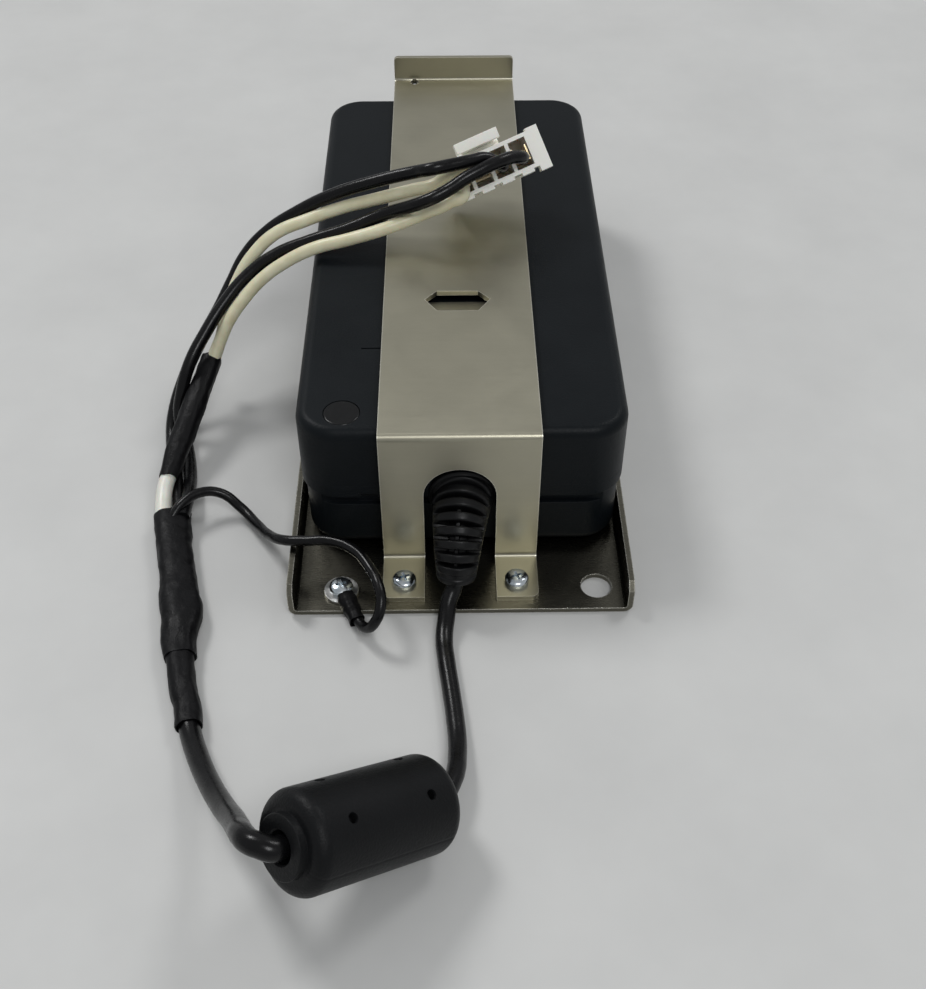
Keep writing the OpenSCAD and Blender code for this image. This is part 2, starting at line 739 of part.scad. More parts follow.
base_tray();
clamp_strap();
strap_screws();
ground_screw();
ring_terminal();
terminal_sleeve();
ground_wire();
upper_case();
lower_case();
indicator_lens();
indicator_led();
rubber_feet();
rating_label();
insulation_sheet();
main_board();
transformer_core();
transformer_winding();
bulk_capacitor();
output_capacitors();
primary_heat_sink();
secondary_heat_sink();
power_semiconductors();
line_choke();
line_filter_capacitor();
fuse();
inlet_body();
inlet_pins();
strain_relief();
output_cable_front();
ferrite_core();
ferrite_cover();
output_cable_rear();
splice_sleeve_end();
splice_sleeve_long();
white_lead();
white_lead_sleeve();
wire_white_front();
wire_white_rear();
wire_black_front();
wire_black_rear();
connector_housing();
connector_latch();
crimp_contacts();
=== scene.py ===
"""Looks of the bracket-mounted power supply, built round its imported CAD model.

+Z is up and the front is towards -Y. Routes and the outlines of turned and swept shapes are written in
millimetres, which mm() and MM turn into metres. Everything else is in metres.
"""

import math

import bmesh
import bpy
from mathutils import Matrix, Vector, noise


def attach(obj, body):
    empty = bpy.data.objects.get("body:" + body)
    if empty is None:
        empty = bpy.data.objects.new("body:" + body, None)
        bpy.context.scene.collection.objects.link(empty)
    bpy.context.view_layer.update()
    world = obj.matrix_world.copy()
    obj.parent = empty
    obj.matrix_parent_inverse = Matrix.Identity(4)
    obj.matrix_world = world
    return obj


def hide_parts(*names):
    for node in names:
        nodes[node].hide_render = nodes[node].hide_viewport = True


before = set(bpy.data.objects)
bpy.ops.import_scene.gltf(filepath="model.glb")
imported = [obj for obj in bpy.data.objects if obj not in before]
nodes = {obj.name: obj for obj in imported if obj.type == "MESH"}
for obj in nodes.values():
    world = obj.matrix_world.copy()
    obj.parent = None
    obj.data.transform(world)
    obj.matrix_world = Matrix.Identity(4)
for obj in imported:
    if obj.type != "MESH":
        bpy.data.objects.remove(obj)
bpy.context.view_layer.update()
scene = bpy.context.scene

MM = 0.001


def mm(*p):
    return Vector(p) * MM


def turned(degrees, axis, size=4):
    """A rotation about one axis, as a matrix with so many rows."""
    return Matrix.Rotation(math.radians(degrees), size, axis)


# The middle of the tray's front edge. The screws, the terminal and the relief are placed from it.
FRONT = Vector((0, -0.0812, 0))


# ---- Camera ----

camera_data = bpy.data.cameras.new("camera")
camera_data.sensor_width = 36
camera_data.lens = 46.19
camera_data.clip_start = 0.01
camera = bpy.data.objects.new("camera", camera_data)
camera.location = (-0.001872, -0.25077, 0.203845)
camera.rotation_euler = (math.radians(45.106), 0, math.radians(-0.775))
scene.collection.objects.link(camera)
scene.camera = camera


# ---- Materials ----

def rgb(r, g, b):
    return (r, g, b, 1)


class Finish:
    """A Principled material whose colour, roughness and relief are textures in the object's own space."""

    def __init__(self, name, **sockets):
        self.material = bpy.data.materials.new(name)
        self.material.use_nodes = True
        self.tree = self.material.node_tree
        self.shader = self.tree.nodes["Principled BSDF"]
        for key, value in sockets.items():
            self.shader.inputs[key.replace("_", " ")].default_value = value
        self.place = self.add("ShaderNodeTexCoord").outputs["Object"]
        self.normal = None

    def add(self, kind, **settings):
        node = self.tree.nodes.new(kind)
        for key, value in settings.items():
            setattr(node, key, value)
        return node

    def put(self, value, socket):
        if isinstance(value, bpy.types.NodeSocket):
            self.tree.links.new(value, socket)
        else:
            socket.default_value = value

    def noise(self, scale, detail=3, stretch=(1, 1, 1), rough=0.55, distortion=0.0):
        """Noise with so many features to the metre, drawn out where stretch is small."""
        mapping = self.add("ShaderNodeMapping")
        self.put(self.place, mapping.inputs["Vector"])
        mapping.inputs["Scale"].default_value = stretch
        texture = self.add("ShaderNodeTexNoise")
        self.put(mapping.outputs["Vector"], texture.inputs["Vector"])
        texture.inputs["Scale"].default_value = scale
        texture.inputs["Detail"].default_value = detail
        texture.inputs["Roughness"].default_value = rough
        texture.inputs["Distortion"].default_value = distortion
        return texture.outputs["Fac"]

    def cells(self, scale):
        """Distance to the middle of the nearest cell, with so many cells to the metre."""
        texture = self.add("ShaderNodeTexVoronoi")
        self.put(self.place, texture.inputs["Vector"])
        texture.inputs["Scale"].default_value = scale
        return texture.outputs["Distance"]

    def bands(self, per_metre, axis):
        """Soft bands across one axis. A wave texture of scale 1 has about 3.3 of them to the metre."""
        texture = self.add("ShaderNodeTexWave", wave_type="BANDS", bands_direction=axis)
        self.put(self.place, texture.inputs["Vector"])
        texture.inputs["Scale"].default_value = per_metre / 3.3
        texture.inputs["Distortion"].default_value = 0.4
        return texture.outputs["Fac"]

    def span(self, value, low, high, to_low=0.0, to_high=1.0):
        """The value moved from one range to another, and held inside it."""
        node = self.add("ShaderNodeMapRange")
        for key, v in (("Value", value), ("From Min", low), ("From Max", high),
                       ("To Min", to_low), ("To Max", to_high)):
            self.put(v, node.inputs[key])
        return node.outputs["Result"]

    def sum(self, a, b, operation="ADD"):
        node = self.add("ShaderNodeMath", operation=operation)
        self.put(a, node.inputs[0])
        self.put(b, node.inputs[1])
        return node.outputs[0]

    def part(self, value, share):
        """The value times a share of 1."""
        return self.sum(value, share, "MULTIPLY")

    def blend(self, share, a, b):
        node = self.add("ShaderNodeMix", data_type="RGBA")
        self.put(share, node.inputs["Factor"])
        self.put(a, node.inputs["A"])
        self.put(b, node.inputs["B"])
        return node.outputs["Result"]

    def edges(self, radius):
        """1 on sharp edges, falling to 0 on flat ground."""
        bevel = self.add("ShaderNodeBevel", samples=6)
        bevel.inputs["Radius"].default_value = radius
        true = self.add("ShaderNodeNewGeometry").outputs["True Normal"]
        dot = self.add("ShaderNodeVectorMath", operation="DOT_PRODUCT")
        self.put(bevel.outputs[0], dot.inputs[0])
        self.put(true, dot.inputs[1])
        return self.span(self.sum(1.0, dot.outputs["Value"], "SUBTRACT"), 0.02, 0.25)

    def colour(self, value):
        self.put(value, self.shader.inputs["Base Color"])

    def rough(self, value):
        self.put(value, self.shader.inputs["Roughness"])

    def relief(self, height, depth, strength=1.0):
        """Adds bumps depth metres high, on top of those already there."""
        bump = self.add("ShaderNodeBump")
        self.put(height, bump.inputs["Height"])
        bump.inputs["Distance"].default_value = depth
        bump.inputs["Strength"].default_value = strength
        if self.normal is not None:
            self.put(self.normal, bump.inputs["Normal"])
        self.normal = bump.outputs["Normal"]
        self.put(self.normal, self.shader.inputs["Normal"])


def nickel_steel(name, dark, light, low, high):
    """Nickel-plated sheet: satin grain drawn out along X, faint handling marks, and a painted highlight along
    its edges.
    """
    grain = (0.06, 1, 1)
    f = Finish(name, Metallic=1.0, Specular_IOR_Level=0.5)
    fine = f.noise(7000, 4, grain, rough=0.7)
    broad = f.noise(500, 3, grain)
    smudge = f.noise(48, 5, rough=0.6, distortion=0.4)
    speck = f.span(f.noise(1500, 4, rough=0.8), 0.7, 0.78)
    tone = f.sum(f.sum(f.span(fine, 0.3, 0.7, 0, 0.3), f.span(broad, 0.3, 0.7, 0, 0.2)),
                 f.span(smudge, 0.35, 0.7, 0, 0.5))
    base = f.blend(tone, dark, light)
    base = f.blend(f.part(speck, 0.25), base, rgb(0.3, 0.28, 0.22))
    # Sharp edges blended towards near-white: a painted highlight along the sheet's edges.
    f.colour(f.blend(f.edges(0.0004), base, rgb(0.97, 0.95, 0.86)))
    f.rough(f.sum(f.span(smudge, 0.3, 0.7, low, high), f.span(fine, 0.3, 0.7, -0.02, 0.03)))
    f.relief(fine, 0.000006, 0.4)
    f.relief(smudge, 0.00002, 0.2)
    return f.material


def moulded(name, dark, light, roughness, grain, depth, wear=0.25, specular=0.5, **sockets):
    """Moulded plastic: sparked texture, so many grains to the metre, a little dust, and edges rubbed pale."""
    f = Finish(name, Specular_IOR_Level=specular, **sockets)
    fine = f.noise(grain, 2, rough=0.7)
    broad = f.noise(70, 4)
    dust = f.span(f.noise(2600, 5, rough=0.8), 0.72, 0.8)
    pale = rgb(*(min(1, c * 2.2 + 0.02) for c in light[:3]))
    base = f.blend(f.span(broad, 0.35, 0.65), dark, light)
    base = f.blend(f.part(dust, 0.12), base, pale)
    if wear:
        base = f.blend(f.part(f.edges(0.0004), wear), base, pale)
    f.colour(base)
    f.rough(f.sum(f.span(broad, 0.3, 0.7, roughness - 0.04, roughness + 0.05),
                  f.span(fine, 0.3, 0.7, -0.05, 0.05)))
    f.relief(fine, depth)
    return f.material


def jacket(name, dark, light, roughness, **sockets):
    """Extruded jacket: smooth, with slow dents and rubbed patches."""
    f = Finish(name, **sockets)
    slow = f.noise(260, 3)
    rub = f.span(f.noise(900, 5, rough=0.7), 0.55, 0.75)
    f.colour(f.blend(f.span(slow, 0.35, 0.65), dark, light))
    f.rough(f.sum(f.span(slow, 0.3, 0.7, roughness, roughness + 0.08), f.part(rub, 0.12)))
    f.relief(slow, 0.00012, 0.6)
    f.relief(f.noise(5200, 3), 0.00001)
    return f.material


def plated(name, dark, light, roughness):
    """Bright metal: slow tone changes, fine tool marks and pale edges."""
    f = Finish(name, Metallic=1.0)
    slow = f.noise(420, 3)
    base = f.blend(f.span(slow, 0.35, 0.65), dark, light)
    f.colour(f.blend(f.edges(0.00015), base, rgb(0.92, 0.92, 0.92)))
    f.rough(f.span(slow, 0.3, 0.7, roughness, roughness + 0.12))
    f.relief(f.noise(3000, 3), 0.000012)
    return f.material


def shrunk(name):
    """Shrunk polyolefin: satin black, creased and a little scuffed."""
    f = Finish(name, Specular_IOR_Level=0.13)
    slow = f.noise(300, 4, distortion=0.6)
    scuff = f.span(f.noise(1400, 6, rough=0.8), 0.6, 0.75)
    base = f.blend(f.span(slow, 0.35, 0.65), rgb(0.0035, 0.0035, 0.004), rgb(0.0058, 0.0058, 0.0066))
    f.colour(f.blend(f.part(scuff, 0.2), base, rgb(0.026, 0.026, 0.029)))
    f.rough(f.sum(f.span(slow, 0.3, 0.7, 0.36, 0.5), f.part(scuff, 0.1)))
    f.relief(f.noise(620, 4, distortion=1.2), 0.00016, 0.7)
    f.relief(f.noise(4200, 3), 0.00002)
    return f.material


def laminate(name):
    """Solder mask over a woven laminate."""
    f = Finish(name)
    weave = f.cells(1800)
    f.colour(f.blend(f.span(weave, 0, 0.6), rgb(0.02, 0.11, 0.04), rgb(0.03, 0.17, 0.06)))
    f.rough(f.span(f.noise(90), 0.3, 0.7, 0.28, 0.4))
    f.relief(weave, 0.00001)
    return f.material


def wound(name, dark, light, turns, axis, metallic=0.0):
    """Bands of wire or tape, so many to the metre along one axis."""
    f = Finish(name, Metallic=metallic)
    bands = f.bands(turns, axis)
    f.colour(f.blend(bands, dark, light))
    f.rough(f.span(f.noise(300), 0.3, 0.7, 0.3, 0.45))
    f.relief(bands, 0.0002)
    return f.material


# Metals
strap_steel = nickel_steel("strap_nickel", rgb(0.405, 0.386, 0.303), rgb(0.47, 0.449, 0.354), 0.34, 0.4)
# The tray's nickel is a darker copy of the strap's: painted shade standing in for the dark case front that
# the tray mirrors.
shaded_tray_steel = nickel_steel("tray_nickel_shaded", rgb(0.13, 0.124, 0.1), rgb(0.18, 0.172, 0.139), 0.24, 0.3)
zinc = plated("zinc", rgb(0.55, 0.62, 0.68), rgb(0.82, 0.86, 0.88), 0.16)
tinned = plated("tin", rgb(0.5, 0.5, 0.49), rgb(0.72, 0.72, 0.7), 0.28)
brass = plated("brass", rgb(0.5, 0.39, 0.2), rgb(0.78, 0.64, 0.38), 0.25)

# Mouldings that show
case_plastic = moulded("case_plastic", rgb(0.004, 0.0058, 0.0074), rgb(0.0056, 0.0076, 0.0094),
                       roughness=0.42, grain=2600, depth=0.00005, wear=0.08, specular=0.13)
lens_plastic = moulded("lens_plastic", rgb(0.003, 0.0032, 0.0036), rgb(0.0045, 0.0047, 0.005),
                       roughness=0.2, grain=900, depth=0.000004, wear=0, specular=0.3)
cover_plastic = moulded("ferrite_cover", rgb(0.0046, 0.005, 0.0056), rgb(0.0064, 0.0068, 0.0076),
                        roughness=0.42, grain=2200, depth=0.00008, wear=0.03, specular=0.16)
relief_plastic = moulded("relief_plastic", rgb(0.0028, 0.0029, 0.0032), rgb(0.0042, 0.0044, 0.0048),
                         roughness=0.4, grain=1900, depth=0.00003, wear=0, specular=0.28)
inlet_plastic = moulded("inlet_plastic", rgb(0.005, 0.005, 0.0055), rgb(0.008, 0.008, 0.009),
                        roughness=0.34, grain=2600, depth=0.00001, wear=0.1, specular=0.4)
rubber = moulded("rubber", rgb(0.008, 0.008, 0.008), rgb(0.014, 0.014, 0.014),
                 roughness=0.75, grain=1800, depth=0.00004, wear=0, specular=0.3)
nylon = moulded("nylon", rgb(0.93, 0.925, 0.85), rgb(0.97, 0.965, 0.9),
                roughness=0.36, grain=1500, depth=0.00002, wear=0,
                Subsurface_Weight=0.08, Subsurface_Scale=0.0008)

# Cords and sleeves
black_jacket = jacket("black_jacket", rgb(0.0026, 0.0026, 0.003), rgb(0.0042, 0.0042, 0.0047), 0.22,
                      Specular_IOR_Level=0.26)
ivory_jacket = jacket("ivory_jacket", rgb(0.72, 0.68, 0.46), rgb(0.80, 0.77, 0.56), 0.3,
                      Subsurface_Weight=0.15, Subsurface_Scale=0.001)
white_jacket = jacket("white_jacket", rgb(0.74, 0.74, 0.66), rgb(0.82, 0.82, 0.75), 0.3,
                      Subsurface_Weight=0.15, Subsurface_Scale=0.001)
shrink = shrunk("shrink_sleeve")

# Underneath and inside the case
label_film = moulded("label_film", rgb(0.5, 0.51, 0.52), rgb(0.6, 0.61, 0.62),
                     roughness=0.35, grain=2200, depth=0.000006, wear=0)
led_plastic = moulded("led_plastic", rgb(0.06, 0.3, 0.09), rgb(0.1, 0.42, 0.14),
                      roughness=0.15, grain=900, depth=0.000003, wear=0)
insulation = moulded("insulation", rgb(0.66, 0.63, 0.46), rgb(0.76, 0.73, 0.55),
                     roughness=0.4, grain=900, depth=0.00001, wear=0)
sintered = moulded("sintered_ferrite", rgb(0.04, 0.04, 0.043), rgb(0.065, 0.065, 0.07),
                   roughness=0.6, grain=3000, depth=0.00006)
can_sleeve = moulded("can_sleeve", rgb(0.02, 0.025, 0.05), rgb(0.03, 0.035, 0.06),
                     roughness=0.25, grain=900, depth=0.000005)
epoxy = moulded("epoxy", rgb(0.02, 0.02, 0.02), rgb(0.03, 0.03, 0.03),
                roughness=0.5, grain=3000, depth=0.00003)
film_box = moulded("film_box", rgb(0.5, 0.34, 0.05), rgb(0.62, 0.44, 0.08),
                   roughness=0.3, grain=1200, depth=0.00001)
ceramic = moulded("ceramic", rgb(0.68, 0.65, 0.58), rgb(0.78, 0.75, 0.68),
                  roughness=0.35, grain=1500, depth=0.00001)
aluminium = plated("aluminium", rgb(0.5, 0.5, 0.51), rgb(0.66, 0.66, 0.67), 0.32)
tape = wound("tape", rgb(0.5, 0.36, 0.06), rgb(0.68, 0.52, 0.12), 900, "Y")
enamel = wound("enamelled_copper", rgb(0.3, 0.1, 0.03), rgb(0.62, 0.28, 0.1), 1100, "Z", 0.8)
board_green = laminate("laminate")


# ---- Mesh tools ----

SMOOTH_UP_TO = 38


def finished_mesh(bm, name, sharp=SMOOTH_UP_TO):
    """The mesh shaded smooth, except where its faces meet at more than sharp degrees."""
    bmesh.ops.recalc_face_normals(bm, faces=bm.faces)
    mesh = bpy.data.meshes.new(name)
    bm.to_mesh(mesh)
    bm.free()
    mesh.shade_smooth()
    mesh.set_sharp_from_angle(angle=math.radians(sharp))
    return mesh


def piece(name, data, material, replaced=(), body="root"):
    obj = bpy.data.objects.new(name, data)
    scene.collection.objects.link(obj)
    data.materials.clear()
    data.materials.append(material)
    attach(obj, body)
    if replaced:
        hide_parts(*replaced)
    return obj


def skin(bm, rings, closed=False):
    """Joins rings of vertices, each with as many, into a tube, and its last to its first if closed."""
    rows = [[bm.verts.new(v) for v in ring] for ring in rings]
    count = len(rows[0])
    pairs = list(zip(rows, rows[1:])) + ([(rows[-1], rows[0])] if closed else [])
    for a, b in pairs:
        for k in range(count):
            j = (k + 1) % count
            bm.faces.new((a[k], a[j], b[j], b[k]))
    if not closed:
        bm.faces.new(rows[0][::-1])
        bm.faces.new(rows[-1])


def lathe(bm, profile, place, steps, closed=False, shape=None):
    """Turns (radius, height) points about place's own Z. shape may change a radius by height and angle."""
    rings = []
    for r, z in profile:
        ring = []
        for k in range(steps):
            a = 2 * math.pi * k / steps
            rr = shape(r, z, a) if shape else r
            ring.append(place @ mm(rr * math.cos(a), rr * math.sin(a), z))
        rings.append(ring)
    skin(bm, rings, closed)


def arc(cx, cy, r, start, end, steps):
    """Points of an arc in a profile, from one angle in degrees to another."""
    angles = [math.radians(start + (end - start) * i / steps) for i in range(steps + 1)]
    return [(cx + r * math.cos(a), cy + r * math.sin(a)) for a in angles]


def through(points, per):
    """A smooth line through the points, with per steps between neighbours."""
    out = []
    last = len(points) - 1
    for i in range(last):
        p0, p1, p2, p3 = (points[min(max(j, 0), last)] for j in (i - 1, i, i + 1, i + 2))
        for s in range(per):
            t = s / per
            out.append(0.5 * (2 * p1 + (p2 - p0) * t + (2 * p0 - 5 * p1 + 4 * p2 - p3) * t ** 2
                              + (3 * p1 - p0 - 3 * p2 + p3) * t ** 3))
    return out + [points[-1]]


def softened(node, name, radius, material, segments=2, sharp=30, body="root"):
    """The CAD node's own shape with its edges broken to a small radius, in place of the node."""
    weld = 2e-6
    bm = bmesh.new()
    bm.from_mesh(nodes[node].data)
    bmesh.ops.remove_doubles(bm, verts=bm.verts, dist=weld)
    bmesh.ops.dissolve_limit(bm, angle_limit=math.radians(1), verts=bm.verts, edges=bm.edges)
    bm.normal_update()
    limit = math.radians(sharp)
    hard = [e for e in bm.edges if len(e.link_faces) == 2 and e.calc_face_angle(0) > limit]
    bmesh.ops.bevel(bm, geom=hard, offset=radius, segments=segments, profile=0.5, affect="EDGES",
                    clamp_overlap=True)
    bmesh.ops.remove_doubles(bm, verts=bm.verts, dist=weld / 2)
    obj = piece(name, finished_mesh(bm, name, 50), material, [node], body)
    weighted = obj.modifiers.new("weighted", "WEIGHTED_NORMAL")
    weighted.keep_sharp = True
    weighted.weight = 90
    return obj


def carved(obj, cutters):
    """Takes the cutters away from the piece for good."""
    for cutter in cutters:
        cut = obj.modifiers.new("cut", "BOOLEAN")
        cut.operation, cut.solver, cut.object = "DIFFERENCE", "EXACT", cutter
    result = bpy.data.meshes.new_from_object(obj.evaluated_get(bpy.context.evaluated_depsgraph_get()))
    obj.modifiers.clear()
    obj.data = result
    result.shade_smooth()
    result.set_sharp_from_angle(angle=math.radians(SMOOTH_UP_TO))
    for cutter in cutters:
        bpy.data.objects.remove(cutter)
    return obj


def loose(bm, name):
    """A cutter for carved(), which takes it away again."""
    obj = bpy.data.objects.new(name, finished_mesh(bm, name))
    scene.collection.objects.link(obj)
    return obj


# ---- Cords ----

# Points along each cord in millimetres, the same as the CAD model's.
ROUTES = {
    "output_cable_front": [
        (-0.8, -77.5, 10.5), (-1, -78.5, 8), (-1.5, -79.5, 6), (-2.5, -81.5, 4.5),
        (-3, -84.5, 3), (-3.5, -89, 1.8), (-3, -95.5, 1.8), (-2.2, -102, 1.8),
        (-1.41, -109.27, 2), (-1.08, -114.02, 2.3), (-1.12, -118.02, 3), (-1.33, -121.13, 3.8),
        (-1.9, -123.84, 4.4), (-4.13, -128.69, 5.71), (-5.12, -129.42, 6.37),
        (-6.33, -130.32, 7.16), (-11.64, -134.28, 10.69), (-16.88, -138.18, 14.16)],
    "output_cable_rear": [
        (-17.72, -138.82, 14.72), (-22.96, -142.72, 18.2), (-28.27, -146.68, 21.72),
        (-29.48, -147.58, 22.52), (-30.33, -148.21, 23.08), (-32.64, -147.74, 23.6),
        (-34.25, -146.9, 23.3), (-35.75, -144.9, 21.9), (-37, -142.2, 19.2),
        (-38.83, -138.28, 15.6), (-41.04, -134.34, 12.2), (-45.35, -126.29, 7.3),
        (-49.05, -118.27, 4), (-51.5, -112, 2.4), (-53, -107, 2.4)],
    "ground_wire": [
        (-63, -57.5, 4.5), (-61, -54.5, 6), (-57.5, -51.5, 6.5), (-53, -50.5, 5.5),
        (-48.5, -53, 3.5), (-44.5, -58, 3.5), (-41, -63.6, 5.8), (-37, -68.2, 8.9),
        (-32.5, -69.5, 10), (-27, -70.5, 11), (-22, -73.5, 11.5), (-18.5, -78.5, 11.5),
        (-16.5, -83.5, 11.5), (-16, -87, 10), (-17, -89, 7.5), (-19, -88.5, 4.5),
        (-21.5, -85, 3.3)],
    "wire_white_front": [
        (-58.5, -15, 13.5), (-56, -12, 18), (-53.5, -10, 22.5), (-50, -7.5, 26.5),
        (-45.5, -5, 30.5), (-40, -3.5, 34), (-33, -3, 37.5), (-25, -2.5, 39.5),
        (-17, -1.5, 41.5), (-9, 1.2, 43.2), (-5.7, 2.1, 44.2), (-3.4, 2.5, 44.9),
        (-1.4, 3, 45.8), (1.5, 4.6, 46.3), (1.7, 5.9, 47.3), (1.6, 7.8, 47.3), (1.5, 9.1, 46.6)],
    "wire_white_rear": [
        (-58.5, -9.5, 11), (-56.5, -7.5, 16), (-54.5, -4.5, 22), (-51.5, -0.5, 28),
        (-48, 2, 32.5), (-42.5, 4, 37), (-35, 5, 40), (-27, 6, 42.5), (-18, 6, 45),
        (-10, 6, 47.2), (-4.5, 6.3, 48.6), (-2, 6.7, 50.6), (0.6, 7.8, 51.8), (3, 8.6, 52.1),
        (4.7, 9.3, 51.4), (5.4, 10.3, 50.4), (5.4, 11.5, 49.5)],
    "wire_black_rear": [
        (-61.5, -57, 1.8), (-63, -49, 1.6), (-65, -40, 1.6), (-67, -31, 2),
        (-67.5, -23.5, 4.5), (-65, -16.5, 10.5), (-61, -10, 16.5), (-57, -3.5, 21),
        (-54, 1.5, 25), (-50.5, 5.5, 30), (-45, 7, 35.5), (-37.5, 7.5, 40.5), (-28.5, 7, 45.5),
        (-18.5, 6, 49.5), (-9, 5, 52.5), (-5.8, 3.3, 54.1), (-1, 4.6, 54.4), (3.9, 6.5, 54.4),
        (6.5, 7.9, 54.1), (9.1, 8.4, 52.9), (10.5, 9.6, 51.4), (10.9, 10.8, 50.3),
        (10.8, 11.9, 49.5)],
    "wire_black_front": [
        (-60.5, -57, 4.5), (-60.5, -49, 3.6), (-61.5, -40.5, 1.8), (-63.5, -31.5, 2),
        (-65.5, -25.5, 6), (-64.5, -22, 11.5), (-62.5, -18.5, 16.5), (-59, -13, 21),
        (-54.5, -7, 25.5), (-49.5, -2.5, 29.5), (-42.5, 0.5, 33.5), (-34, 1, 37),
        (-25.5, 1, 40), (-17, 1.5, 43.5), (-6.5, -1.4, 49), (-1.7, 0.3, 50.7), (2.2, 2, 52.6),
        (5.4, 3.5, 53.6), (8, 4.9, 54.2), (10.5, 6.4, 54.4), (12.7, 8.2, 54.1),
        (14.5, 9.6, 53.4), (15.4, 10.9, 52.6), (15.6, 12.2, 51.7), (15.5, 13.3, 50.9)],
    "white_lead": [(-65, -57, 2.6), (-66, -50.5, 2.9), (-66, -46, 3.8), (-65, -42.5, 5)],
}

FRONT_CABLE_D = 3.6
REAR_CABLE_D = 4.2
GROUND_WIRE_D = 2.2
PLUG_WIRE_D = 3
WHITE_LEAD_D = 3.6


def cord(node, name, diameter, material):
    """A round cord along the node's route, as one open spline."""
    route = [mm(*point) for point in ROUTES[node]]
    data = bpy.data.curves.new(name, "CURVE")
    data.dimensions = "3D"
    data.bevel_depth = diameter * MM / 2
    data.bevel_resolution = 6
    data.use_fill_caps = True
    data.resolution_u = 10
    spline = data.splines.new("BEZIER")
    spline.bezier_points.add(len(route) - 1)
    for knot, place in zip(spline.bezier_points, route):
        knot.co = place
        knot.handle_left_type = knot.handle_right_type = "AUTO"
    return piece(name, data, material, [node])


lead_front = cord("output_cable_front", "lead_front", FRONT_CABLE_D, black_jacket)
lead_rear = cord("output_cable_rear", "lead_rear", REAR_CABLE_D, black_jacket)
ground_lead = cord("ground_wire", "ground_lead", GROUND_WIRE_D, black_jacket)
for colour, material, look in (("white", ivory_jacket, "ivory_jacket"),
                               ("black", black_jacket, "cable_jacket")):
    for row in ("front", "rear"):
        wire = f"{colour}_{row}"
        cord(f"wire_{wire}", f"plug_wire_{wire}", PLUG_WIRE_D, material)
white_core = cord("white_lead", "white_core", WHITE_LEAD_D, white_jacket)


# ---- Shrunk sleeves ----

# Stations along each sleeve: x, y and z of its middle, its width and its height, in millimetres.
SLEEVE_LONG = [
    (-56, -94, 2.6, 6.4, 5), (-57, -88.5, 2.7, 7.4, 5.2), (-57.5, -82, 2.8, 8.6, 5.4),
    (-59.5, -73, 2.8, 7.7, 5.2), (-61.5, -64.5, 2.8, 7.7, 5.2), (-63.2, -55, 2.9, 7.9, 5.6)]
SLEEVE_END = [
    (-52, -110.5, 2.4, 5.2, 4.6), (-53, -106, 2.4, 5.2, 4.7),
    (-54.5, -101.5, 2.5, 5.4, 4.8), (-56, -94, 2.6, 5.6, 4.6)]
SLEEVE_SMALL = [
    (-65.5, -44.5, 4.4, 4.2, 4), (-64, -37.5, 6.8, 5.2, 4.2), (-62.5, -31.5, 8.8, 5.6, 4.4),
    (-61, -25, 10.8, 5.4, 4.4), (-59.5, -19, 12.4, 5, 4.6), (-58.5, -13.5, 13.6, 4.8, 5.2)]


def sleeve_ring(centre, along, width, height, seed, travel, crease=1.0, cut=0.0):
    """One flattened ring of a sleeve. Its creases run on from ring to ring, and cut makes it uneven."""
    sides = 48
    squareness = 2.4
    side = along.cross(Vector((0, 0, 1))).normalized()
    up = side.cross(along)
    ring = []
    for k in range(sides):
        a = 2 * math.pi * k / sides
        c, s = math.cos(a), math.sin(a)
        square = (abs(c) ** squareness + abs(s) ** squareness) ** (-1 / squareness)
        slow = noise.noise(Vector((c * 0.9 + seed, s * 0.9, travel * 0.16)))
        quick = noise.noise(Vector((c * 2.6, s * 2.6 + seed, travel * 0.42)))
        swell = square * (1 + crease * (0.11 * slow + 0.05 * quick))
        edge = along * cut * noise.noise(Vector((c * 1.4, s * 1.4, seed + 7)))
        ring.append(centre + side * (width / 2 * c * swell) + up * (height / 2 * s * swell) + edge)
    return ring


def sleeve(node, name, stations, seed, wall=0.45, mouth=3.0):
    """A thin-walled sleeve with open, slightly uneven mouths, mouth millimetres deep."""
    line = through([Vector(s) for s in stations], 14)
    centres = [Vector(s[:3]) for s in line]
    last = len(line) - 1
    travel, outer = 0.0, []
    for i, station in enumerate(line):
        along = (centres[min(i + 1, last)] - centres[max(i - 1, 0)]).normalized()
        travel += (centres[i] - centres[i - 1]).length if i else 0
        outer.append((centres[i], along, station[3], station[4], travel))
    rings = [sleeve_ring(c, d, w, h, seed, t, cut=0.5 if i in (0, last) else 0.0)
             for i, (c, d, w, h, t) in enumerate(outer)]

    def lining(index, inward):
        c, d, w, h, t = outer[index]
        lip = sleeve_ring(c, d, w - wall, h - wall, seed, t, crease=0.9, cut=0.5)
        w, h = w - 2 * wall, h - 2 * wall
        throat = sleeve_ring(c + d * inward * 0.6, d, w, h, seed, t, crease=0.8)
        deep = sleeve_ring(c + d * inward * mouth, d, w * 0.9, h * 0.9, seed, t, crease=0.6)
        return [deep, throat, lip]

    rings = lining(0, 1) + rings + lining(last, -1)[::-1]
    bm = bmesh.new()
    skin(bm, [[v * MM for v in ring] for ring in rings])
    return piece(name, finished_mesh(bm, name, 55), shrink, [node])


long_sleeve = sleeve("splice_sleeve_long", "long_sleeve", SLEEVE_LONG, 3.1)
end_sleeve = sleeve("splice_sleeve_end", "end_sleeve", SLEEVE_END, 11.7)
small_sleeve = sleeve("white_lead_sleeve", "small_sleeve", SLEEVE_SMALL, 23.4)


# ---- Bracket ----

SHEET = 1.2
SCREW_X = 11.8
SCREW_Y = 6.7
GROUND_AT = (-25, 5.2)
LUG = 0.8

softened("clamp_strap", "strap_sheet", 0.00018, strap_steel)
softened("base_tray", "tray_sheet", 0.00018, shaded_tray_steel)

HEAD_R = 2.5
HEAD_H = 1.9
SHANK_R = 1.5
SHANK_L = 2.0
PITCH = 0.5
THREAD = 0.18


